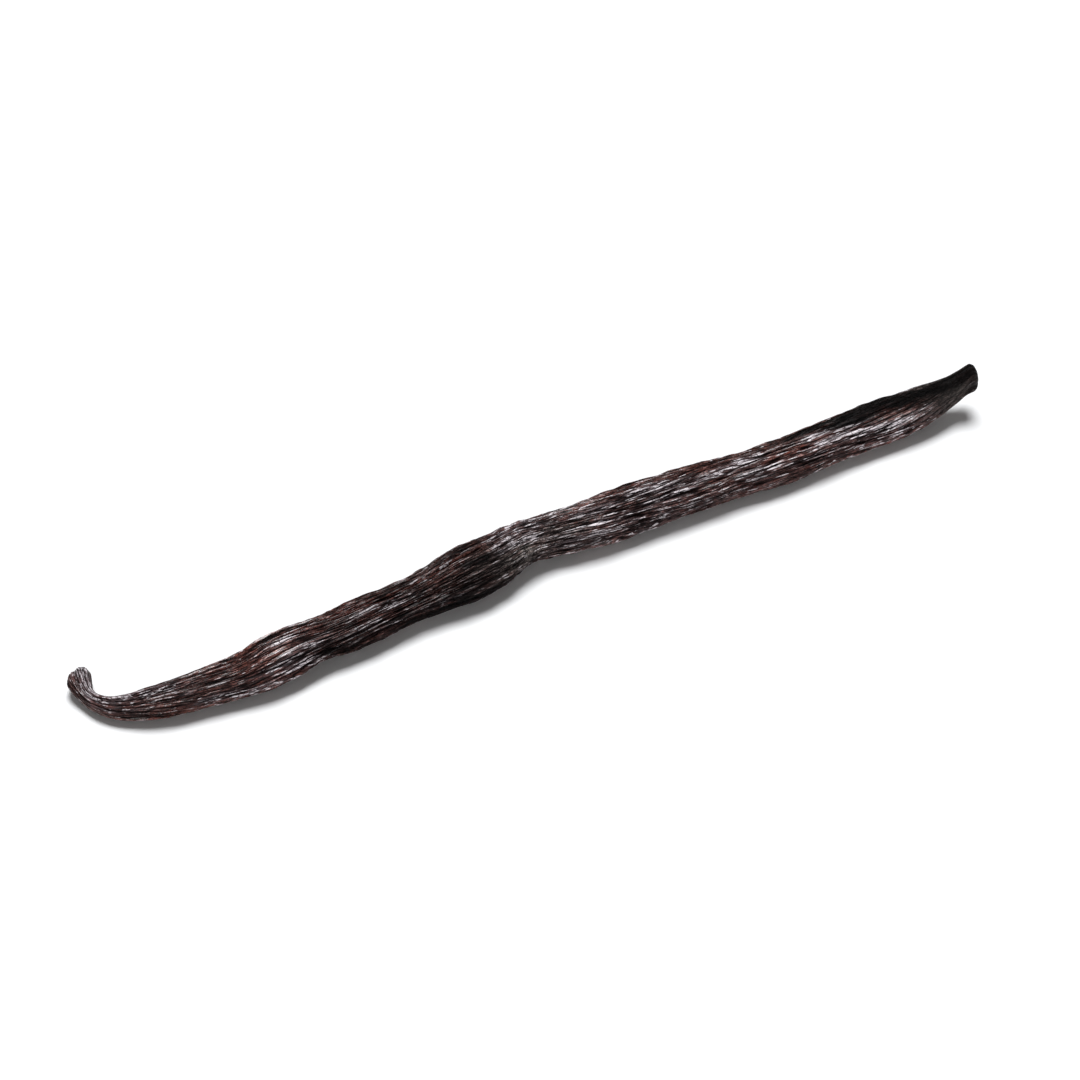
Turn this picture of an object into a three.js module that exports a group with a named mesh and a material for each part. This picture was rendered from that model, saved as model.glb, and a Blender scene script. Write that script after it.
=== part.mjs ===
// A cured vanilla pod, lying on a flat surface.
//
// The pod is one solid: a slightly flattened round section, swept along a gently winding line from the stem end,
// which is bent into a hook, to the blunt blossom end. Long wandering folds run the length of its skin.
// Millimetres, +Z up. X runs along the pod from the stem end to the blossom end, Y runs across it, and the
// origin is under its middle, on the plane Z = 0 that the pod rests on.

import * as THREE from 'three';

// Driving dimensions

// The pod from end to end. at: distance along it from the stem end. heading: the way it runs there, in degrees
// from +X in plan. width: of its section. flat: height of the section over its width. gap: how far its underside
// is above the surface, where a gap below zero is a side pressed flat.
const STATIONS = [
  { at: 0, heading: -107, width: 3.2, flat: 1.0, gap: 0.3 }, // broken stem end
  { at: 1.8, heading: -99, width: 3.8, flat: 1.0, gap: 0.3 }, // knob where the stem was joined
  { at: 4.4, heading: -79, width: 2.6, flat: 1.0, gap: 0.4 }, // neck, in the bend of the hook
  { at: 7.1, heading: -56, width: 2.8, flat: 1.0, gap: 0.3 },
  { at: 11, heading: -29, width: 3.9, flat: 0.96, gap: 0.1 },
  { at: 16, heading: -14, width: 5.4, flat: 0.92, gap: 0 }, // shoulder
  { at: 22, heading: -7, width: 6.1, flat: 0.9, gap: 0 },
  { at: 28, heading: -5, width: 6.8, flat: 0.88, gap: -0.1 },
  { at: 34, heading: 5, width: 8.0, flat: 0.88, gap: -0.2 }, // first belly
  { at: 43, heading: 2, width: 7.7, flat: 0.88, gap: -0.3 },
  { at: 51, heading: 5, width: 8.1, flat: 0.88, gap: -0.3 },
  { at: 59, heading: 4, width: 7.6, flat: 0.88, gap: -0.1 }, // waist
  { at: 69, heading: 3, width: 9.4, flat: 0.86, gap: -0.3 }, // widest
  { at: 76, heading: 13, width: 8.9, flat: 0.86, gap: -0.3 },
  { at: 82, heading: -3, width: 7.8, flat: 0.88, gap: -0.1 }, // kink
  { at: 88, heading: -6, width: 7.9, flat: 0.88, gap: -0.1 },
  { at: 96, heading: -2, width: 8.5, flat: 0.88, gap: -0.3 }, // second belly
  { at: 110, heading: -4, width: 8.1, flat: 0.88, gap: -0.3 },
  { at: 118, heading: -7, width: 7.5, flat: 0.88, gap: -0.2 },
  { at: 128, heading: 1, width: 7.7, flat: 0.88, gap: -0.3 },
  { at: 136, heading: 1, width: 7.6, flat: 0.88, gap: -0.3 },
  { at: 147, heading: -3, width: 7.6, flat: 0.88, gap: -0.2 },
  { at: 153.6, heading: -1, width: 6.7, flat: 0.9, gap: 0.8 }, // taper, rising off the surface
  { at: 158.2, heading: -2, width: 4.9, flat: 0.92, gap: 2.5 },
  { at: 160.2, heading: -9, width: 4.4, flat: 0.96, gap: 3.6 }, // pinched in behind the lip
  { at: 161.5, heading: -20, width: 4.7, flat: 1.0, gap: 4.1 }, // lip of the blossom end
];

// The folds of the skin. around: folds in one turn. length: of one fold. depth: as a share of the half width.
const MAIN_FOLDS = { around: 12, length: 26, depth: 0.13, seed: 11 };
const FINE_FOLDS = { around: 22, length: 15, depth: 0.06, seed: 12 };
const SWELLS = { around: 3, length: 17, depth: 0.05, seed: 5 }; // slow bulges and dents
const WANDER = { around: 3, length: 30, depth: 0.12, seed: 8 }; // of the folds round the pod, in turns
const FOLD_ROUNDNESS = 0.75; // the power that rounds a fold's back and keeps the crease beside it sharp
const CREASE_REACH = 0.45; // noise value at which a fold is full height
const PLAIN_HEIGHT = 0.6; // share of a fold's height at which the skin lies on the plain section

// The skin is smoother at both ends.
const CALM_ENDS = [
  { at: 1, reach: 8 },
  { at: 161, reach: 7 },
];
const CALM_SHARE = 0.7; // of the folds' depth that is lost there

// Dents where the pod has been pinched. at and reach are along the pod, turn and spread are round it, in degrees
// from the +Y side through the top, and depth is a share of the half width.
const PINCHES = [
  { at: 1, reach: 3, turn: 118, spread: 24, depth: 0.26 }, // groove between the knob's two lobes
  { at: 42, reach: 3.5, turn: 225, spread: 50, depth: 0.2 },
  { at: 80, reach: 3.5, turn: 225, spread: 45, depth: 0.1 },
];

// The broken stem end is cut on the slant: the longest side is at STEM_SLANT_TURN degrees.
const STEM_SLANT = 0.5;
const STEM_SLANT_TURN = 20;
const STEM_SLANT_REACH = 3; // the slant has died away this far along the pod

// The rings that close each end, from its rim to its middle. size: share of the rim's. out: distance past it.
const STEM_CAP = [
  { size: 0.96, out: 0.15 },
  { size: 0.85, out: 0.3 },
  { size: 0.6, out: 0.4 },
  { size: 0.3, out: 0.35 },
];
const BLOSSOM_CAP = [
  { size: 0.97, out: 0.3 },
  { size: 0.88, out: 0.6 },
  { size: 0.74, out: 0.85 },
  { size: 0.5, out: 1.05 },
  { size: 0.25, out: 1.15 },
];

const FACETS_AROUND = 52;
const HOOK_END = 12; // rings are closer together up to here
const HOOK_RING_STEP = 0.85;
const BODY_RING_STEP = 1.85;
const LINE_STEP = 0.25; // steps in which the pod's line is laid out

const COLOUR = 0x2a1a15;

// Smooth seeded noise

const HASH_FACTORS = [374761393, 668265263, 974634777, 1274126177];
const UINT32_RANGE = 4294967296;

function hash(column, row, seed) {
  let bits = Math.imul(column, HASH_FACTORS[0]) ^ Math.imul(row, HASH_FACTORS[1]) ^ Math.imul(seed, HASH_FACTORS[2]);
  bits = Math.imul(bits ^ (bits >>> 13), HASH_FACTORS[3]);
  return ((bits ^ (bits >>> 16)) >>> 0) / UINT32_RANGE;
}

const fade = (t) => t * t * t * (t * (t * 6 - 15) + 10);

// Gradient noise, about -0.7 to 0.7, that repeats after `period` cells of u.
function noise(u, v, period, seed) {
  const column = Math.floor(u);
  const row = Math.floor(v);
  let sum = 0;
  for (const right of [0, 1]) {
    for (const up of [0, 1]) {
      const direction = 2 * Math.PI * hash((((column + right) % period) + period) % period, row + up, seed);
      const du = u - column - right;
      const dv = v - row - up;
      const slope = Math.cos(direction) * du + Math.sin(direction) * dv;
      sum += slope * fade(1 - Math.abs(du)) * fade(1 - Math.abs(dv));
    }
  }
  return sum;
}

// The pod's line

// A smooth value between the stations, through the one at each of them.
function between(field, at) {
  const last = STATIONS.length - 1;
  let i = 0;
  while (i < last - 1 && STATIONS[i + 1].at <= at) i += 1;
  const slope = (k) => {
    const a = STATIONS[Math.max(k - 1, 0)];
    const b = STATIONS[Math.min(k + 1, last)];
    return (b[field] - a[field]) / (b.at - a.at);
  };
  const span = STATIONS[i + 1].at - STATIONS[i].at;
  const t = (at - STATIONS[i].at) / span;
  const s = 1 - t;
  return (
    s * s * (1 + 2 * t) * STATIONS[i][field] +
    t * t * (1 + 2 * s) * STATIONS[i + 1][field] +
    s * s * t * span * slope(i) -
    s * t * t * span * slope(i + 1)
  );
}

const LENGTH = STATIONS[STATIONS.length - 1].at;

// The line in plan, laid out step by step along its heading.
const linePoints = [new THREE.Vector2(0, 0)];
for (let at = 0; at < LENGTH; at += LINE_STEP) {
  const heading = THREE.MathUtils.degToRad(between('heading', at + LINE_STEP / 2));
  const step = new THREE.Vector2(Math.cos(heading), Math.sin(heading)).multiplyScalar(LINE_STEP);
  linePoints.push(linePoints[linePoints.length - 1].clone().add(step));
}

function linePoint(at) {
  const i = Math.min(Math.floor(at / LINE_STEP), linePoints.length - 2);
  return linePoints[i].clone().lerp(linePoints[i + 1], at / LINE_STEP - i);
}

// The skin

const layer = (folds, at, turn) => noise(folds.around * turn, at / folds.length, folds.around, folds.seed);

// 1 on a fold's back and 0 in the crease beside it.
function foldHeight(folds, at, turn) {
  return Math.min(1, Math.abs(layer(folds, at, turn)) / CREASE_REACH) ** FOLD_ROUNDNESS;
}

const near = (distance, reach) => Math.exp(-((distance / reach) ** 2));

// How far the skin lies outside the plain section there, as a share of the half width. turn goes from 0 to 1.
function relief(at, turn) {
  const wandered = turn + WANDER.depth * layer(WANDER, at, turn);
  const calm = CALM_ENDS.reduce((sum, end) => sum + near(at - end.at, end.reach), 0);
  let height = SWELLS.depth * layer(SWELLS, at, turn);
  for (const folds of [MAIN_FOLDS, FINE_FOLDS]) {
    height += folds.depth * (1 - CALM_SHARE * calm) * (foldHeight(folds, at, wandered) - PLAIN_HEIGHT);
  }
  for (const pinch of PINCHES) {
    const away = THREE.MathUtils.euclideanModulo(360 * turn - pinch.turn + 180, 360) - 180;
    height -= pinch.depth * near(at - pinch.at, pinch.reach) * near(away, pinch.spread);
  }
  return height;
}

// One ring of the skin. size shrinks it about the pod's line, and out moves it off the end of the pod.
function ring(at, size = 1, out = 0) {
  const heading = THREE.MathUtils.degToRad(between('heading', at));
  const forward = new THREE.Vector3(Math.cos(heading), Math.sin(heading), 0);
  const side = new THREE.Vector3(-Math.sin(heading), Math.cos(heading), 0);
  const halfWidth = between('width', at) / 2;
  const halfHeight = halfWidth * between('flat', at);
  const plan = linePoint(at);
  const middle = new THREE.Vector3(plan.x, plan.y, between('gap', at) + halfHeight);
  const slant = STEM_SLANT * Math.max(0, 1 - at / STEM_SLANT_REACH) * size;

  const points = [];
  for (let i = 0; i < FACETS_AROUND; i += 1) {
    const turn = i / FACETS_AROUND;
    const angle = 2 * Math.PI * turn;
    const reach = size * (1 + relief(at, turn));
    const back = slant * Math.cos(angle - THREE.MathUtils.degToRad(STEM_SLANT_TURN));
    points.push(
      middle
        .clone()
        .addScaledVector(forward, out - back)
        .addScaledVector(side, reach * halfWidth * Math.cos(angle))
        .setZ(Math.max(0, middle.z + reach * halfHeight * Math.sin(angle))),
    );
  }
  return points;
}

// Evenly spaced places from one to the other, without the last.
function placesBetween(from, to, step) {
  const count = Math.round((to - from) / step);
  return Array.from({ length: count }, (_, i) => from + ((to - from) * i) / count);
}

function ringPlaces() {
  return [...placesBetween(0, HOOK_END, HOOK_RING_STEP), ...placesBetween(HOOK_END, LENGTH, BODY_RING_STEP), LENGTH];
}

function middleOf(points) {
  return points.reduce((sum, point) => sum.add(point), new THREE.Vector3()).divideScalar(points.length);
}

// Rings joined side by side into a closed skin, with a fan of facets over the first and the last.
function closedSkin(rings) {
  const vertices = [...rings.flat(), middleOf(rings[0]), middleOf(rings[rings.length - 1])];
  const firstMiddle = vertices.length - 2;
  const lastMiddle = vertices.length - 1;
  const faces = [];
  for (let i = 0; i < FACETS_AROUND; i += 1) {
    const next = (i + 1) % FACETS_AROUND;
    for (let k = 0; k < rings.length - 1; k += 1) {
      const here = k * FACETS_AROUND;
      const beyond = here + FACETS_AROUND;
      faces.push(here + i, here + next, beyond + next, here + i, beyond + next, beyond + i);
    }
    const lastRing = (rings.length - 1) * FACETS_AROUND;
    faces.push(firstMiddle, next, i, lastMiddle, lastRing + i, lastRing + next);
  }
  const geometry = new THREE.BufferGeometry().setFromPoints(vertices);
  geometry.setIndex(faces);
  return geometry;
}

function podGeometry() {
  const stem = STEM_CAP.map(({ size, out }) => ring(0, size, -out)).reverse();
  const body = ringPlaces().map((at) => ring(at));
  const blossom = BLOSSOM_CAP.map(({ size, out }) => ring(LENGTH, size, out));
  const geometry = closedSkin([...stem, ...body, ...blossom]);

  geometry.computeBoundingBox();
  const middle = geometry.boundingBox.getCenter(new THREE.Vector3());
  geometry.translate(-middle.x, -middle.y, -geometry.boundingBox.min.z);
  geometry.computeVertexNormals();
  return geometry;
}

function makePod() {
  const skin = new THREE.MeshStandardMaterial({ color: COLOUR, roughness: 0.45, metalness: 0 });
  const pod = new THREE.Mesh(podGeometry(), skin);
  pod.name = 'pod';
  return pod;
}

const vanillaPod = new THREE.Group();
vanillaPod.add(makePod());

export default vanillaPod;
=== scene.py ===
"""A cured vanilla pod lying on a pale floor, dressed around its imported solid.

The skin is one fine mesh. It follows the same line, sections and folds as the solid, and adds the
wrinkles that are finer than the solid's facets. Lengths of the pod are in millimetres until the mesh is
made, and in metres after.
"""

import math
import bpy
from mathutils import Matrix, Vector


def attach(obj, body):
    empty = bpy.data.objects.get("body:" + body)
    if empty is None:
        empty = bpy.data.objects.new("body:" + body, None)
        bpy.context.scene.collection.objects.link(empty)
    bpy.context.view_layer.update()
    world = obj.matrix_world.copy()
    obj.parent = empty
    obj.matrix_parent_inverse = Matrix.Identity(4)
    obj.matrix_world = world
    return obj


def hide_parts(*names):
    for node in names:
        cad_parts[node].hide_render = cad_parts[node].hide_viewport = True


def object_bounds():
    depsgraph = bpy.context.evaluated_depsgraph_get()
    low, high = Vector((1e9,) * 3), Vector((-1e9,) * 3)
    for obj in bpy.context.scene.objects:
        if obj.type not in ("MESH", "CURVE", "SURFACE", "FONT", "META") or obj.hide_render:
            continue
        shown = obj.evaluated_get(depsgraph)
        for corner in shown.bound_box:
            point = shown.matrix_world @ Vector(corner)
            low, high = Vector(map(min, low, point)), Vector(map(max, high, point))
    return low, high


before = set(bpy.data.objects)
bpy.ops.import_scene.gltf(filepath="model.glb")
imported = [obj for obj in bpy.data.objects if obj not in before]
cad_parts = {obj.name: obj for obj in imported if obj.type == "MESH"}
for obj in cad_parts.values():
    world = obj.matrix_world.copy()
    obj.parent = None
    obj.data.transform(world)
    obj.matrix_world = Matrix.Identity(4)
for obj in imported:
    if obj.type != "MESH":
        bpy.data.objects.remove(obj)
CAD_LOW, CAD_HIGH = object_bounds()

from types import SimpleNamespace

import bpy
import numpy as np
from mathutils import Vector

MM = 0.001

# The pod from end to end: distance along it, heading in plan in degrees, width, height over width, and how
# far its underside is above the surface (below zero it is pressed flat).
STATION_FIELDS = ("at", "heading", "width", "flat", "gap")
STATIONS = (
    (0, -107, 3.2, 1.0, 0.3),  # broken stem end
    (1.8, -99, 3.8, 1.0, 0.3),  # knob where the stem was joined
    (4.4, -79, 2.6, 1.0, 0.4),  # neck, in the bend of the hook
    (7.1, -56, 2.8, 1.0, 0.3),
    (11, -29, 3.9, 0.96, 0.1),
    (16, -14, 5.4, 0.92, 0),  # shoulder
    (22, -7, 6.1, 0.9, 0),
    (28, -5, 6.8, 0.88, -0.1),
    (34, 5, 8.0, 0.88, -0.2),  # first belly
    (43, 2, 7.7, 0.88, -0.3),
    (51, 5, 8.1, 0.88, -0.3),
    (59, 4, 7.6, 0.88, -0.1),  # waist
    (69, 3, 9.4, 0.86, -0.3),  # widest
    (76, 13, 8.9, 0.86, -0.3),
    (82, -3, 7.8, 0.88, -0.1),  # kink
    (88, -6, 7.9, 0.88, -0.1),
    (96, -2, 8.5, 0.88, -0.3),  # second belly
    (110, -4, 8.1, 0.88, -0.3),
    (118, -7, 7.5, 0.88, -0.2),
    (128, 1, 7.7, 0.88, -0.3),
    (136, 1, 7.6, 0.88, -0.3),
    (147, -3, 7.6, 0.88, -0.2),
    (153.6, -1, 6.7, 0.9, 0.8),  # taper, rising off the surface
    (158.2, -2, 4.9, 0.92, 2.5),
    (160.2, -9, 4.4, 0.96, 3.6),  # pinched in behind the lip
    (161.5, -20, 4.7, 1.0, 4.1),  # lip of the blossom end
)
COLUMN = {field: np.array([s[i] for s in STATIONS], float) for i, field in enumerate(STATION_FIELDS)}
LENGTH = COLUMN["at"][-1]

# Layers of noise: cells in one turn, length of one cell, depth as a share of the half width, seed.
MAIN_FOLDS = (12, 26, 0.13, 11)
FINE_FOLDS = (22, 15, 0.06, 12)
SWELLS = (3, 17, 0.05, 5)
WANDER = (3, 30, 0.12, 8)  # its depth is how far the folds turn, in turns
FOLD_ROUNDNESS = 0.75  # the power that rounds a fold's back and keeps the crease beside it sharp
CREASE_REACH = 0.45  # noise value at which a fold is full height
PLAIN_HEIGHT = 0.6  # share of a fold's height at which the skin lies on the plain section
CALM_ENDS = ((1, 8), (161, 7))  # place and reach of the smoother skin at each end
CALM_SHARE = 0.7  # of the folds' depth that is lost there
SMOOTH_ENDS = ((1, 10), (161, 7))  # the same for what is finer than the folds

# Finer than the solid, in the same way: nets of creases around long strands, and what bends, beads and
# deepens them. The depth of WEAVING and QUIVER is in turns, and that of GATHERING a share of the strands'.
STRANDS = (54, 14, 0.1, 21)
THREADS = (92, 5, 0.05, 22)
STRAND_DOME = 0.75  # how far from its crease a strand is full height, in cells
STRAND_LEVEL = 0.6  # share of a strand's height at which the skin lies on the fold under it
LOWEST_STRAND = 0.6  # height of the lowest strands as a share of the highest
STRAND_TILT = 0.9  # how far strands lean to one side or the other
SEED_STEP = 100  # between the seeds of a net's places, levels and tilts
FURTHEST = 9.0  # further than any strand's middle is from a point, in cells
WEAVING = (9, 9, 0.012, 23)
QUIVER = (22, 3, 0.005, 24)
BEADS = (54, 2.2, 0.06, 31)
GATHERING = (5, 13, 0.6, 25)
KINK_CREASES = (9, 1.6, 0.05, 41)
STEM_LUMPS = (5, 1.6, 0.12, 51)
STEM_LUMPS_REACH = 3
RIDGE_SHARES = (0.62, 0.26, 0.12)  # what strands, threads and folds add to how high the skin looks
SMOOTH_RIDGE = 0.5  # how far that is evened out where the skin is smoothest

# Dents: place along the pod, reach along it, turn in degrees, spread in degrees, depth as a share of the
# half width.
PINCHES = (
    (1.0, 3, 118, 24, 0.26),  # groove between the knob's two lobes
    (42, 3.5, 225, 50, 0.2),
    (80, 3.5, 225, 45, 0.1),
)
KINK_PLACES = ((43, 5), (80, 6))  # place and reach of the cross creases

# Patches, among them painted shade and sheen: place along the pod, reach along it, turn in degrees, spread
# in degrees, strength.
RED_PATCHES = (
    # This first patch stands for a soft highlight on the neck: painted highlight.
    (5, 3, 110, 40, 0.4),
    (12, 6, 85, 30, 0.3),
    (9, 5, 140, 40, 0.25),
    (18, 6, 190, 25, 0.6),
    (24, 8, 80, 30, 0.5),
    (33, 7, 70, 30, 0.5),
    (33, 6, 150, 25, 0.5),
    (45, 6, 85, 25, 0.5),
    (55, 7, 100, 30, 0.5),
    (65, 7, 88, 30, 0.5),
    (87, 5, 80, 20, 0.6),
    (97, 6, 75, 18, 0.5),
    (115, 8, 155, 35, 0.4),
    (128, 6, 112, 12, 1.0),
    (144, 7, 185, 20, 0.8),
    (152, 6, 170, 22, 0.4),
)
# Glossy patches: they make the skin glossier, and also paint a pale sheen and highlight into its colour.
GLOSS_AND_SHEEN_PATCHES = (
    (0.5, 3, 76, 45, 1.3),
    (4, 4, 66, 45, 1.0),
    (6, 4, 104, 24, 1.1),
    (11, 7, 80, 30, 0.7),
    (9, 4, 150, 16, 0.6),
    (16, 5, 93, 12, 0.9),
    (18, 4, 129, 6, 0.6),
    (25, 4, 171, 12, 1.1),
    (30, 3, 184, 14, 0.7),
    (37, 3.5, 88, 10, 0.6),
    (39, 4, 130, 9, 0.9),
    (35, 5, 142, 9, 1.0),
    (38, 4, 166, 12, 0.8),
    (51, 3, 108, 8, 0.5),
    (50, 3, 140, 8, 0.6),
    (55, 3, 118, 9, 0.9),
    (53, 5, 165, 6, 0.7),
    (62, 5, 168, 7, 0.7),
    (76, 3, 81, 7, 0.8),
    (76, 2.5, 104, 9, 0.8),
    (76, 2.5, 116, 8, 1.2),
    (80, 3, 118, 10, 1.1),
    (81, 4, 92, 14, 0.5),
    (80, 5, 60, 14, 0.7),
    (90, 5, 100, 9, 0.7),
    (92.5, 4, 105, 8, 1.1),
    (85, 4, 158, 6, 0.6),
    (98, 3, 157, 6, 0.6),
    (90, 7, 133, 8, 0.5),
    (90, 6, 160, 8, 0.8),
    (97, 6, 104, 7, 1.0),
    (101, 4, 95, 10, 1.1),
    (104.5, 4.5, 129, 8, 1.4),
    (105, 5, 104, 8, 0.8),
    (111, 6, 114, 8, 0.9),
    (97, 4, 138, 8, 0.6),
    (115, 4, 104, 7, 0.7),
    (119, 3, 92, 14, 1.2),
    (121, 4, 131, 8, 1.0),
    (119, 4, 148, 8, 0.7),
    (119, 3, 137, 6, 0.8),
    (128, 4, 145, 8, 0.8),
    (132.5, 3, 93, 10, 1.2),
    (138, 3, 108, 6, 1.0),
    (134, 4, 121, 8, 1.0),
    (140, 4, 136, 9, 1.5),
    (145, 5, 145, 9, 1.5),
    (150, 3, 134, 8, 0.5),
    (146, 3, 174, 9, 1.2),
    (105, 24, 172, 35, 0.35),
    (145, 14, 168, 30, 0.4),
)
# Dark patches: most are darker stretches of the skin, but some are painted shadow, as marked below.
DARK_AND_SHADOW_PATCHES = (
    (13, 4, 184, 12, 0.9),
    (21, 4, 117, 6, 0.5),
    (25, 3, 122, 8, 1.0),
    (33, 7, 206, 14, 0.4),
    (41, 4, 116, 7, 0.9),
    (44, 5, 108, 12, 0.7),
    (44, 5, 165, 10, 1.1),
    (46, 7, 150, 32, 0.8),
    (55, 4, 155, 7, 1.1),
    (48, 8, 200, 40, 0.9),
    (56, 7, 78, 28, 0.7),
    (58, 4, 155, 12, 0.6),
    (56, 6, 190, 14, 1.3),
    (63, 9, 130, 45, 0.5),
    (68, 7, 160, 50, 0.95),
    # Painted shade along the underside, dark as in a gap under the pod.
    (67, 10, 198, 22, 1.8),
    (67, 7, 66, 26, 0.8),
    (70, 5, 114, 10, 1.2),
    (65, 6, 86, 24, 0.5),
    (86, 5, 112, 7, 0.4),
    (89, 5, 182, 14, 0.8),
    (114, 5, 135, 7, 0.5),
    (86, 5, 143, 6, 0.5),
    (105, 4, 148, 6, 0.4),
    (111, 8, 168, 9, 0.6),
    (100, 14, 186, 18, 0.3),
    # From here to the end, the patches facing up (turns 60 to 100) are a painted cast shadow over the top
    # of the blossom end; those lower down near the tip are its own dark skin.
    (133, 6, 60, 16, 1.8),
    (141, 5.5, 83, 22, 2.4),
    (144, 6, 62, 16, 1.8),
    (149, 7, 86, 22, 1.7),
    (157, 6, 90, 34, 1.6),
    (156, 4, 147, 12, 0.5),
    (150, 7, 100, 14, 1.0),
    (153, 4, 122, 10, 0.7),
    (155, 4, 186, 14, 0.5),
    (160, 6, 90, 55, 1.4),
    (162, 4, 150, 140, 0.9),
)
GREY_PATCHES = (
    (77, 6, 150, 40, 1.2),
    (84, 5, 125, 30, 0.6),
    (72, 6, 125, 30, 0.5),
    (159, 7, 100, 200, 1.0),
)

# Of these tones, dark carries painted shadow as well as dark skin, and the gloss tone carries painted
# sheen and highlight as well as real gloss.
TONES = ("warm", "grey", "dark", "oiled", "smooth")  # what the material reads of the skin, point by point

# The broken face of the stem end leans back.
STEM_SLANT = 0.5
STEM_SLANT_TURN = 20  # degrees
STEM_SLANT_REACH = 3  # the slant has died away this far along the pod

# Outline of each end, from its rim to its middle: size as a share of the rim's, and distance past it.
STEM_CAP = ((1, 0), (0.96, 0.15), (0.85, 0.3), (0.6, 0.4), (0.3, 0.35), (0.03, 0.3))
BLOSSOM_CAP = ((1, 0), (0.97, 0.3), (0.88, 0.6), (0.74, 0.85), (0.5, 1.05), (0.25, 1.15), (0.03, 1.2))

# The mesh
AROUND = 360
COLUMN_CROWDING = 0.5  # columns stand closer where the pod's top and front are
CROWDED_TURN = 120  # degrees
BODY_RINGS = 252
CAP_RINGS = 9
UNWEAVE_STEPS = 30
RING_CROWDING = ((0, 9, 1.2), (43, 6, 0.3), (80, 7, 0.5), (161, 7, 0.8))  # place, reach, extra rings
LINE_STEP = 0.25  # steps in which the pod's line is laid out

# Noise

HASH_FACTORS = (374761393, 668265263, 974634777, 1274126177)
HASH_SHIFTS = (13, 16)
UINT32_MASK = 0xFFFFFFFF


def hashed(column, row, seed):
    """A number from 0 to 1 for each cell."""
    columns = column.astype(np.int64).astype(np.uint32)
    rows = row.astype(np.int64).astype(np.uint32)
    bits = columns * np.uint32(HASH_FACTORS[0]) ^ rows * np.uint32(HASH_FACTORS[1])
    bits ^= np.uint32(seed * HASH_FACTORS[2] & UINT32_MASK)
    bits = (bits ^ (bits >> np.uint32(HASH_SHIFTS[0]))) * np.uint32(HASH_FACTORS[3])
    return (bits ^ (bits >> np.uint32(HASH_SHIFTS[1]))) / (UINT32_MASK + 1)


def fade(t):
    """From 0 to 1, level at both."""
    return t * t * t * (t * (t * 6 - 15) + 10)


def noise(u, v, period, seed):
    """Gradient noise, about -0.7 to 0.7, that repeats after `period` cells of u."""
    column, row = np.floor(u), np.floor(v)
    total = 0
    for right in (0, 1):
        for up in (0, 1):
            direction = 2 * np.pi * hashed((column + right) % period, row + up, seed)
            du, dv = u - column - right, v - row - up
            slope = np.cos(direction) * du + np.sin(direction) * dv
            total = total + slope * fade(1 - abs(du)) * fade(1 - abs(dv))
    return total


# Shape


def between(field, at):
    """A smooth value between the stations, through the one at each of them."""
    x, y = COLUMN["at"], COLUMN[field]
    last = len(x) - 1
    i = np.clip(np.searchsorted(x, at, side="right") - 1, 0, last - 1)

    def slope(k):
        below, above = np.maximum(k - 1, 0), np.minimum(k + 1, last)
        return (y[above] - y[below]) / (x[above] - x[below])

    span = x[i + 1] - x[i]
    t = (at - x[i]) / span
    s = 1 - t
    ends = s * s * (1 + 2 * t) * y[i] + t * t * (1 + 2 * s) * y[i + 1]
    return ends + s * s * t * span * slope(i) - s * t * t * span * slope(i + 1)


def pod_line(at):
    """Where the pod's line is in plan, laid out step by step along its heading."""
    steps = np.arange(0, LENGTH, LINE_STEP)
    heading = np.radians(between("heading", steps + LINE_STEP / 2))
    marks = np.arange(len(steps) + 1) * LINE_STEP
    x = np.concatenate([[0], np.cumsum(np.cos(heading) * LINE_STEP)])
    y = np.concatenate([[0], np.cumsum(np.sin(heading) * LINE_STEP)])
    return np.interp(at, marks, x), np.interp(at, marks, y)


def layer(folds, at, turn):
    around, length, _, seed = folds
    return noise(around * turn, at / length, around, seed)


def fold_height(folds, at, turn):
    """1 on a fold's back and 0 in the crease beside it."""
    return np.minimum(1, abs(layer(folds, at, turn)) / CREASE_REACH) ** FOLD_ROUNDNESS


def near(at, place, reach):
    return np.exp(-(((at - place) / reach) ** 2))


def strands(net, at, turn):
    """A net of creases around long cells: 0 in a crease, rising to each strand's own level, up to 1."""
    around, length, _, seed = net
    u, v = around * turn, at / length
    column, row = np.floor(u), np.floor(v)
    nearest = np.full(u.shape, FURTHEST)
    second = np.full(u.shape, FURTHEST)
    level = np.zeros(u.shape)
    slope = np.zeros(u.shape)
    for right in (-1, 0, 1):
        for up in (-1, 0, 1):
            c, r = (column + right) % around, row + up
            du = u - column - right - hashed(c, r, seed)
            dv = v - row - up - hashed(c, r, seed + SEED_STEP)
            distance = np.hypot(du, dv)
            closer = distance < nearest
            second = np.where(closer, nearest, np.minimum(second, distance))
            level = np.where(closer, hashed(c, r, seed + 2 * SEED_STEP), level)
            slope = np.where(closer, (hashed(c, r, seed + 3 * SEED_STEP) - 0.5) * du, slope)
            nearest = np.minimum(nearest, distance)
    short = 1 - np.minimum(1, (second - nearest) / STRAND_DOME)
    dome = np.sqrt(1 - short * short)
    return dome * (LOWEST_STRAND + (1 - LOWEST_STRAND) * level + STRAND_TILT * slope)


def smooth_share(at):
    """1 where an end's skin is smoothest, down to 0."""
    return sum(near(at, place, reach) for place, reach in SMOOTH_ENDS)


def near_turn(turn, middle, spread):
    """1 at this many degrees round the pod, down to 0 away from it."""
    away = (360 * turn - middle + 180) % 360 - 180
    return near(away, 0, spread)


def patched(patches, at, turn):
    """Strength of the patches at each point, from 0 to 1."""
    total = np.zeros(np.broadcast(at, turn).shape)
    for place, reach, middle, spread, strength in patches:
        patch = strength * near(at, place, reach) * near_turn(turn, middle, spread)
        total = np.maximum(total, patch)
    return np.minimum(total, 1)


def wandering(at, turn):
    """The turn that the long folds follow, and the turn that the strands follow."""
    wandered = turn + WANDER[2] * layer(WANDER, at, turn)
    woven = wandered + WEAVING[2] * layer(WEAVING, at, wandered)
    return wandered, woven + QUIVER[2] * layer(QUIVER, at, wandered)


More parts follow.
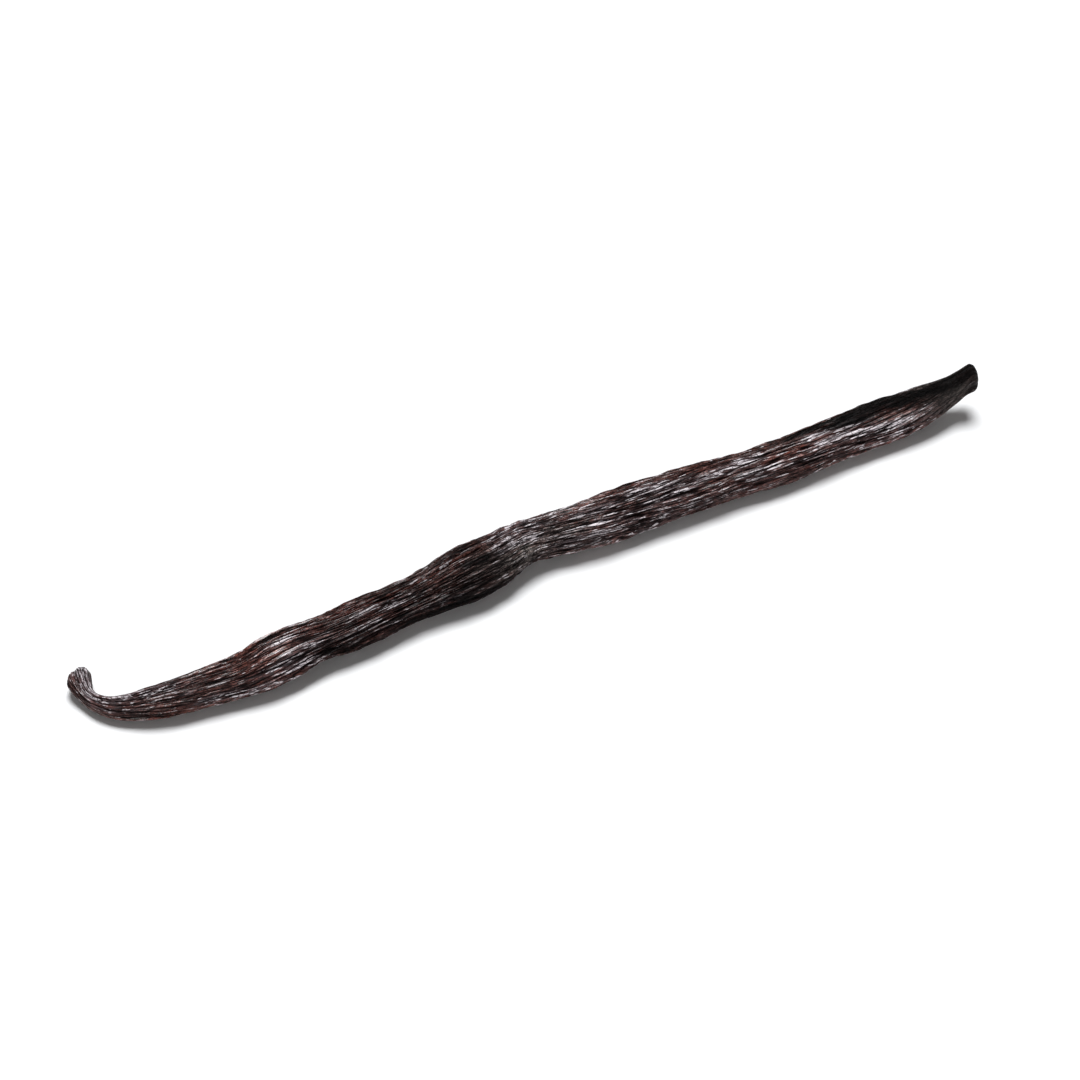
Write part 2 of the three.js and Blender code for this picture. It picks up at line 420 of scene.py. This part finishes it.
def unwoven(at, woven):
    """The turn at which the strands' own turn has this value, so that the mesh runs along the strands."""
    turn = woven
    for _ in range(UNWEAVE_STEPS):
        turn = turn + woven - wandering(at, turn)[1]
    return turn


def relief(at, turn):
    """How far the skin lies outside the plain section, and how high it looks, at each point."""
    wandered, woven = wandering(at, turn)
    height = SWELLS[2] * layer(SWELLS, at, turn)
    calm = sum(near(at, place, reach) for place, reach in CALM_ENDS)
    furrow = 0
    for folds in (MAIN_FOLDS, FINE_FOLDS):
        fold = fold_height(folds, at, wandered)
        height = height + folds[2] * (1 - CALM_SHARE * calm) * (fold - PLAIN_HEIGHT)
        furrow = furrow + fold / 2
    gathered = 1 + GATHERING[2] * layer(GATHERING, at, wandered)
    smooth = smooth_share(at)
    nets = (strands(STRANDS, at, woven), strands(THREADS, at, woven))
    strand, thread = (net + smooth * (furrow - net) for net in nets)
    netted = STRANDS[2] * (strand - STRAND_LEVEL) + THREADS[2] * (thread - STRAND_LEVEL)
    height = height + gathered * netted
    height = height + BEADS[2] * layer(BEADS, at, woven) * strand * (1 - smooth)
    ridge = sum(share * part for share, part in zip(RIDGE_SHARES, (strand, thread, furrow)))
    ridge = ridge + SMOOTH_RIDGE * smooth * (STRAND_LEVEL - ridge)
    kinked = sum(near(at, place, reach) for place, reach in KINK_PLACES)
    height = height + KINK_CREASES[2] * kinked * (fold_height(KINK_CREASES, at, turn) - 1)
    height = height + STEM_LUMPS[2] * near(at, 0, STEM_LUMPS_REACH) * layer(STEM_LUMPS, at, turn)
    for place, reach, middle, spread, depth in PINCHES:
        height = height - depth * near(at, place, reach) * near_turn(turn, middle, spread)
    return height, ridge


def cap_outline(cap):
    """Size and distance of each ring of an end, from the one inside its rim to the smallest."""
    place = np.linspace(0, len(cap) - 1, CAP_RINGS + 1)[1:]
    return np.stack([np.interp(place, np.arange(len(cap)), values) for values in zip(*cap)], -1)


def ring_plan():
    """For each ring: distance along the pod, size as a share of the rim's, and distance off the end."""
    stem = [(0, size, -out) for size, out in cap_outline(STEM_CAP)[::-1]]
    steps = np.arange(0, LENGTH, LINE_STEP)
    crowding = 1 + sum(extra * near(steps, place, reach) for place, reach, extra in RING_CROWDING)
    count = np.concatenate([[0], np.cumsum(crowding)])
    body_at = np.interp(np.linspace(0, count[-1], BODY_RINGS), count, np.append(steps, LENGTH))
    body = [(at, 1, 0) for at in body_at]
    blossom = [(LENGTH, size, out) for size, out in cap_outline(BLOSSOM_CAP)]
    return np.array(stem + body + blossom, float)


def column_turns():
    """The turn of each column of the skin."""
    even = np.arange(AROUND) / AROUND
    return even - COLUMN_CROWDING * np.sin(2 * np.pi * even - math.radians(CROWDED_TURN)) / (2 * np.pi)


def skin():
    """The skin's points, how high each looks, its coordinates in the straightened pod, and its tones.

    All are in rings, and the points and coordinates are in millimetres.
    """
    at, size, out = (column[:, None] for column in ring_plan().T)
    turn = unwoven(at, column_turns()[None, :] + 0 * at)
    angle = 2 * np.pi * turn
    heading = np.radians(between("heading", at))
    half_width = between("width", at) / 2
    half_height = half_width * between("flat", at)
    x, y = pod_line(at)
    z = between("gap", at) + half_height
    height, ridge = relief(at + 0 * turn, turn)
    reach = size * (1 + height)
    slant = STEM_SLANT * np.maximum(0, 1 - at / STEM_SLANT_REACH) * size
    forward = out - slant * np.cos(angle - math.radians(STEM_SLANT_TURN))
    sideways = reach * half_width * np.cos(angle)
    points = np.stack(
        [
            x + forward * np.cos(heading) - sideways * np.sin(heading),
            y + forward * np.sin(heading) + sideways * np.cos(heading),
            np.maximum(0, z + reach * half_height * np.sin(angle)),
        ],
        axis=-1,
    )
    radius = half_width * size
    own = np.stack([radius * np.cos(angle), radius * np.sin(angle), at + out + 0 * angle], axis=-1)
    kinds = (RED_PATCHES, GREY_PATCHES, DARK_AND_SHADOW_PATCHES, GLOSS_AND_SHEEN_PATCHES)
    tones = [patched(kind, at, turn) for kind in kinds] + [smooth_share(at + 0 * turn)]
    return points, ridge, own, np.stack(tones, axis=-1)


def line_start(points):
    """Where the line's stem end stands in the frame, with the skin's middle over the solid's."""
    middle = (points.min((0, 1)) + points.max((0, 1))) / 2
    cad_middle = np.array((CAD_LOW + CAD_HIGH) / 2)
    return cad_middle[:2] - middle[:2] * MM


def with_ends(values):
    """The values of all rings in one row, and after them the mean of each end's ring."""
    means = (values[0].mean(0), values[-1].mean(0))
    return np.concatenate([values.reshape(-1, *values.shape[2:]), means])


def skin_faces(rings):
    """Quads between the rings, and a fan over each end."""
    i = np.arange(AROUND)
    following = (i + 1) % AROUND
    here = (np.arange(rings - 1) * AROUND)[:, None]
    beyond = here + AROUND
    quads = np.stack([here + i, here + following, beyond + following, beyond + i], -1).reshape(-1, 4)
    first, last = rings * AROUND, rings * AROUND + 1
    top = (rings - 1) * AROUND
    stem_fan = [(first, b, a) for a, b in zip(i, following)]
    blossom_fan = [(last, top + a, top + b) for a, b in zip(i, following)]
    return quads.tolist() + stem_fan + blossom_fan


def add_values(mesh, name, values):
    """Stores a number or a vector for each point of the mesh."""
    kind, field = ("FLOAT", "value") if values.ndim == 1 else ("FLOAT_VECTOR", "vector")
    attribute = mesh.attributes.new(name, kind, "POINT")
    attribute.data.foreach_set(field, values.astype(np.float32).ravel())


def skin_mesh(points, ridge, own, tones, start):
    vertices = with_ends(points) * MM
    vertices[:, :2] += start
    ridges = with_ends(ridge)
    ridges[-2:] = 1
    mesh = bpy.data.meshes.new("vanilla_pod_skin")
    mesh.from_pydata(vertices.tolist(), [], skin_faces(len(points)))
    mesh.polygons.foreach_set("use_smooth", np.ones(len(mesh.polygons), bool))
    add_values(mesh, "ridge", ridges)
    add_values(mesh, "own", with_ends(own))
    for name, values in zip(TONES, with_ends(tones).T):
        add_values(mesh, name, values)
    mesh.update()
    return mesh


# Materials


class Nodes:
    """Small helper that adds shader nodes and links them."""

    def __init__(self, name):
        self.material = bpy.data.materials.new(name)
        self.material.use_nodes = True
        self.tree = self.material.node_tree
        self.shader = self.tree.nodes["Principled BSDF"]

    def add(self, kind, inputs=(), **settings):
        node = self.tree.nodes.new("ShaderNode" + kind)
        for key, value in settings.items():
            setattr(node, key, value)
        for key, value in dict(inputs).items():
            self.put(node.inputs[key], value)
        return node

    def put(self, socket, value):
        if isinstance(value, bpy.types.NodeSocket):
            self.tree.links.new(value, socket)
        else:
            socket.default_value = value

    def math(self, operation, a, b=0.0, clamp=False):
        return self.add("Math", {0: a, 1: b}, operation=operation, use_clamp=clamp).outputs[0]

    def mix(self, factor, a, b, blend="MIX"):
        node = self.add("Mix", data_type="RGBA", blend_type=blend)
        self.put(node.inputs["Factor"], factor)
        self.put(node.inputs[6], a)
        self.put(node.inputs[7], b)
        return node.outputs[2]

    def ramp(self, factor, low, high, to_low=0.0, to_high=1.0):
        """to_low where the factor is low or less, to_high where it is high or more, straight between."""
        ends = {"From Min": low, "From Max": high, "To Min": to_low, "To Max": to_high}
        return self.add("MapRange", {"Value": factor, **ends}).outputs[0]

    def noise(self, vector, scale, stretch=(1, 1, 1), detail=3.0, roughness=0.55, distortion=0.0):
        mapped = self.add("Mapping", {"Vector": vector, "Scale": stretch}).outputs[0]
        settings = {"Scale": scale, "Detail": detail, "Roughness": roughness, "Distortion": distortion}
        return self.add("TexNoise", {"Vector": mapped, **settings}).outputs["Fac"]

    def cracks(self, vector, scale, stretch):
        """0 on the lines between jumbled cells, and more inside them."""
        mapped = self.add("Mapping", {"Vector": vector, "Scale": stretch}).outputs[0]
        cells = self.add("TexVoronoi", {"Vector": mapped, "Scale": scale}, feature="DISTANCE_TO_EDGE")
        return cells.outputs["Distance"]


def rgb(r, g, b):
    return (r, g, b, 1.0)


# Painted shade: the near-black colour of the creases.
CREASE = rgb(0.008, 0.0028, 0.0024)
BROWN = rgb(0.050, 0.0225, 0.0195)
# Tan of the strands' crowns, partly painted highlight.
TAN = rgb(0.28, 0.165, 0.15)
RED = rgb(0.18, 0.049, 0.034)
CHARCOAL = rgb(0.125, 0.114, 0.106)
# Painted sheen: a pale haze over the glossy stretches.
PAINTED_SHEEN = rgb(0.215, 0.182, 0.20)
# Painted highlight: a pale film on the highest strands.
PAINTED_HIGHLIGHT = rgb(0.80, 0.735, 0.768)
# SHADE is what a dark patch leaves of the colour: painted shadow where the patch stands for shade, dark
# skin elsewhere.
SHADE = rgb(0.032, 0.024, 0.023)  # what a dark patch leaves of the colour

# Patterns in the straightened skin: scale, stretch along the pod, and the noise's other settings.
PATTERNS = {
    "fibres": (5.2, 0.1, {"detail": 1.5, "roughness": 0.5}),
    "chips": (3.0, 0.35, {"detail": 2, "roughness": 0.6}),
    "flecks": (3.8, 0.3, {"detail": 2, "roughness": 0.6}),
    "strokes": (2.6, 0.16, {"detail": 2, "roughness": 0.5, "distortion": 0.3}),
    "hues": (2.8, 0.13, {"detail": 2, "roughness": 0.5}),
    "streaks": (4.2, 0.09, {"detail": 2, "roughness": 0.5, "distortion": 0.2}),
    "bands": (0.42, 0.3, {"detail": 2}),
    "clouds": (0.3, 0.35, {"detail": 3}),
    "grain": (6.5, 0.5, {"detail": 2}),
}
CRACKS_SCALE = 2.3
CRACKS_STRETCH = 0.33

# Patterns that multiply the colour: where each begins and ends, and its darkest and lightest share.
SHADINGS = {
    "flecks": (0.36, 0.64, 0.5, 1.45),
    "fibres": (0.41, 0.59, 0.42, 1.65),
    "bands": (0.38, 0.6, 0.65, 1.35),
    "grain": (0.4, 0.6, 0.5, 1.6),
}

SKIN_SPECULAR = 0.06
COAT_ROUGHNESS = 0.2
BUMP_DISTANCE = 0.5 * MM


def skin_values(n):
    """What the skin's look is made from, by name."""
    own = n.add("Attribute", attribute_name="own").outputs["Vector"]
    v = SimpleNamespace()
    for name in ("ridge", *TONES):
        setattr(v, name, n.add("Attribute", attribute_name=name).outputs["Fac"])
    for name, (scale, stretch, settings) in PATTERNS.items():
        setattr(v, name, n.noise(own, scale, (1, 1, stretch), **settings))
    v.cracks = n.cracks(own, CRACKS_SCALE, (1, 1, CRACKS_STRETCH))
    v.height = n.math("ADD", v.ridge, n.ramp(v.fibres, 0.3, 0.7, -0.12, 0.12))
    v.rough = n.ramp(v.smooth, 0.0, 1.0, 1.0, 0.3)
    return v


def skin_colour(n, v):
    # Creases darkened with painted shade, brown strands, tan strokes on their backs that are partly
    # painted highlight, and grey stretches.
    colour = n.mix(n.ramp(v.height, 0.42, 0.62), CREASE, BROWN)
    # Lighter tan on the highest strands: partly the skin's colour, partly painted highlight.
    light = n.math("MULTIPLY", n.ramp(v.height, 0.6, 0.9), n.ramp(v.strokes, 0.44, 0.62))
    colour = n.mix(n.math("MULTIPLY", light, v.rough), colour, TAN)
    greyed = n.math("MULTIPLY", v.grey, n.ramp(v.height, 0.25, 0.6, 0.2, 0.85))
    colour = n.mix(greyed, colour, CHARCOAL)
    for name, (low, high, darker, lighter) in SHADINGS.items():
        tone = n.ramp(getattr(v, name), low, high, darker, lighter)
        colour = n.mix(v.rough, colour, tone, blend="MULTIPLY")

    # Red strands, and short cracks across them.
    reddened = n.math("ADD", v.warm, n.ramp(v.clouds, 0.4, 0.7, 0.1, 0.55))
    reddened = n.math("MULTIPLY", reddened, n.ramp(v.hues, 0.42, 0.58))
    reddened = n.math("MULTIPLY", reddened, n.ramp(v.height, 0.4, 0.65), clamp=True)
    colour = n.mix(reddened, colour, RED)
    # The cracks are painted with the same dark crease colour.
    cracked = n.math("MULTIPLY", n.ramp(v.cracks, 0.0, 0.1, 0.8, 0.0), v.rough)
    colour = n.mix(cracked, colour, CREASE)

    # Glossy stretches get a painted sheen, a pale haze over their colour, and the highest strands a
    # painted highlight, a pale film.
    sheened = n.math("MULTIPLY", v.oiled, n.ramp(v.strokes, 0.4, 0.6, 0.25, 0.85))
    sheened = n.math("MULTIPLY", sheened, n.ramp(v.height, 0.35, 0.65))
    colour = n.mix(sheened, colour, PAINTED_SHEEN)
    # The painted highlight falls on high strands and streaks, more in glossy stretches, less where the
    # skin is smooth.
    shine = n.math("ADD", n.math("MULTIPLY", v.height, 0.5), n.math("MULTIPLY", v.oiled, 0.25))
    shine = n.math("ADD", shine, v.streaks)
    highlighted = n.math("MULTIPLY", n.ramp(shine, 0.97, 1.03, 0.0, 0.95), n.ramp(v.cracks, 0.0, 0.08))
    highlighted = n.math("MULTIPLY", highlighted, n.ramp(v.smooth, 0.0, 1.0, 1.0, 0.6))
    colour = n.mix(highlighted, colour, PAINTED_HIGHLIGHT)

    # Dark patches darken the colour towards SHADE: painted shadow in some places, the skin's own dark in
    # others.
    return n.mix(v.dark, colour, n.mix(1.0, colour, SHADE, blend="MULTIPLY"))


def skin_gloss(n, v):
    """Roughness of the skin, and the weight of the oily coat on its strands."""
    gloss = n.math("ADD", v.oiled, n.ramp(v.strokes, 0.35, 0.65, -0.1, 0.5))
    roughness = n.ramp(gloss, 0.0, 1.0, 0.6, 0.35)
    coat = n.math("MULTIPLY", n.ramp(gloss, -0.1, 0.7, 0.35, 1.0), n.ramp(v.height, 0.48, 0.7))
    undimmed = n.math("SUBTRACT", 1.0, n.math("MULTIPLY", v.dark, 0.95))
    return roughness, n.math("MULTIPLY", coat, undimmed)


def skin_bump(n, v):
    small = n.math("ADD", n.math("MULTIPLY", v.fibres, 0.4), n.math("MULTIPLY", v.grain, 0.15))
    small = n.math("ADD", small, n.ramp(v.cracks, 0.0, 0.12, -0.2, 0.0))
    height = n.math("ADD", small, v.chips)
    bump = n.add("Bump", {"Strength": 1.0, "Distance": BUMP_DISTANCE, "Height": height})
    return bump.outputs[0]


def skin_material():
    n = Nodes("vanilla_skin")
    v = skin_values(n)
    roughness, coat = skin_gloss(n, v)
    n.put(n.shader.inputs["Base Color"], skin_colour(n, v))
    n.put(n.shader.inputs["Roughness"], roughness)
    n.put(n.shader.inputs["Specular IOR Level"], SKIN_SPECULAR)
    n.put(n.shader.inputs["Coat Roughness"], COAT_ROUGHNESS)
    n.put(n.shader.inputs["Coat Weight"], coat)
    n.put(n.shader.inputs["Normal"], skin_bump(n, v))
    return n.material


FLOOR_COLOURS = (rgb(0.86, 0.86, 0.86), rgb(0.88, 0.88, 0.88))
FLOOR_MOTTLE = 30.0  # scale
FLOOR_ROUGHNESS = 0.9
FLOOR_SPECULAR = 0.1


def floor_material():
    n = Nodes("pale_floor")
    mottle = n.noise(n.add("TexCoord").outputs["Object"], FLOOR_MOTTLE, detail=2)
    n.put(n.shader.inputs["Base Color"], n.mix(mottle, *FLOOR_COLOURS))
    n.put(n.shader.inputs["Roughness"], FLOOR_ROUGHNESS)
    n.put(n.shader.inputs["Specular IOR Level"], FLOOR_SPECULAR)
    return n.material


# Scene

VIEW_AZIMUTH = -28.6  # degrees; 0 looks along +Y
VIEW_ELEVATION = 45.0
VIEW_DISTANCE = 0.5
VIEW_LENS = 105.0  # mm on a 36 mm sensor
VIEW_CLIP_START = 0.01
LINE_MIDDLE = (76.18 * MM, -6.33 * MM)  # the middle of the picture, from the line's stem end
FLOOR_SIDE = 6.0

KEY_ELEVATION = 69.0  # the key light stands behind the pod
KEY_WIDTH = 30.0  # degrees across
KEY_STRENGTH = 3.9
FRONT_ELEVATION = 4.0  # a weak low light on the camera's side
FRONT_WIDTH = 22.0
FRONT_STRENGTH = 2.3
SUN_COLOUR = (0.97, 0.985, 1.0)
FILL_STRENGTH = 0.13
FILL_COLOUR = (1.0, 0.95, 0.935, 1.0)
BACKDROP_STRENGTH = 1.0


def view_back():
    """From what the camera looks at towards the camera."""
    azimuth, elevation = math.radians(VIEW_AZIMUTH), math.radians(VIEW_ELEVATION)
    flat = math.cos(elevation)
    return Vector((math.sin(azimuth) * flat, -math.cos(azimuth) * flat, math.sin(elevation)))


def make_pod(mesh):
    mesh.materials.append(skin_material())
    pod = bpy.data.objects.new("vanilla_pod", mesh)
    bpy.context.collection.objects.link(pod)
    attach(pod, "root")
    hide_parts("pod")


def make_floor():
    half = FLOOR_SIDE / 2
    mesh = bpy.data.meshes.new("floor")
    corners = [(-half, -half, 0), (half, -half, 0), (half, half, 0), (-half, half, 0)]
    mesh.from_pydata(corners, [], [(0, 1, 2, 3)])
    mesh.materials.append(floor_material())
    floor = bpy.data.objects.new("floor", mesh)
    bpy.context.collection.objects.link(floor)


def aim(thing, target):
    thing.rotation_mode = "QUATERNION"
    thing.rotation_quaternion = (target - thing.location).to_track_quat("-Z", "Y")


def make_camera(target):
    camera = bpy.data.objects.new("camera", bpy.data.cameras.new("camera"))
    camera.data.lens = VIEW_LENS
    camera.data.clip_start = VIEW_CLIP_START
    camera.location = target + view_back() * VIEW_DISTANCE
    aim(camera, target)
    bpy.context.collection.objects.link(camera)
    bpy.context.scene.camera = camera


def make_sun(name, side, elevation, width, strength):
    """A broad sun. side is 1 behind the pod and -1 on the camera's side."""
    azimuth = math.radians(VIEW_AZIMUTH)
    away = Vector((-math.sin(azimuth), math.cos(azimuth), 0)) * side
    height = math.radians(elevation)
    sun = bpy.data.objects.new(name, bpy.data.lights.new(name, "SUN"))
    sun.data.energy = strength
    sun.data.angle = math.radians(width)
    sun.data.color = SUN_COLOUR
    sun.location = away * math.cos(height) + Vector((0, 0, math.sin(height)))
    aim(sun, Vector((0, 0, 0)))
    bpy.context.collection.objects.link(sun)


def make_lights():
    make_sun("key", 1, KEY_ELEVATION, KEY_WIDTH, KEY_STRENGTH)
    make_sun("front", -1, FRONT_ELEVATION, FRONT_WIDTH, FRONT_STRENGTH)

    world = bpy.data.worlds.new("world")
    world.use_nodes = True
    nodes, links = world.node_tree.nodes, world.node_tree.links
    fill = nodes["Background"]
    fill.inputs["Color"].default_value = FILL_COLOUR
    fill.inputs["Strength"].default_value = FILL_STRENGTH
    backdrop = nodes.new("ShaderNodeBackground")
    backdrop.inputs["Strength"].default_value = BACKDROP_STRENGTH
    path, mix = nodes.new("ShaderNodeLightPath"), nodes.new("ShaderNodeMixShader")
    links.new(path.outputs["Is Camera Ray"], mix.inputs[0])
    links.new(fill.outputs[0], mix.inputs[1])
    links.new(backdrop.outputs[0], mix.inputs[2])
    links.new(mix.outputs[0], nodes["World Output"].inputs["Surface"])
    bpy.context.scene.world = world


points, ridge, own, tones = skin()
start = line_start(points)
make_pod(skin_mesh(points, ridge, own, tones, start))
make_floor()
make_camera(Vector((start[0] + LINE_MIDDLE[0], start[1] + LINE_MIDDLE[1], 0)))
make_lights()
bpy.context.scene.view_settings.view_transform = "Standard"
